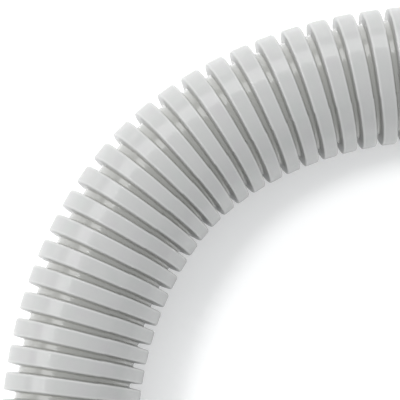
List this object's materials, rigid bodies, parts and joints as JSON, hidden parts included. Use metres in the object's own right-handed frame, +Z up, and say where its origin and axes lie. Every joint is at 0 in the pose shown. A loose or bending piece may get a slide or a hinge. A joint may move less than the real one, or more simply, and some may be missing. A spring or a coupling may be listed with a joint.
{
  "type": "corrugated conduit",
  "caption": "Length of corrugated pliable conduit in light grey plastic, with ring-shaped ridges, a thin hollow wall and one square bend between two straight legs.",
  "frame": {"origin": "centre of the underside of the box round the conduit as it lies on a floor", "axes": "+Z up, across the lying conduit; the first leg runs along Y with its cut end towards -Y, the second along X with its cut end towards +X"},
  "size_m": [0.5272, 0.5272, 0.025],
  "materials": {
    "pvc_light_grey": "satin"
  },
  "bodies": {
    "root": {"conduit": "pvc_light_grey"}
  },
  "joints": []
}
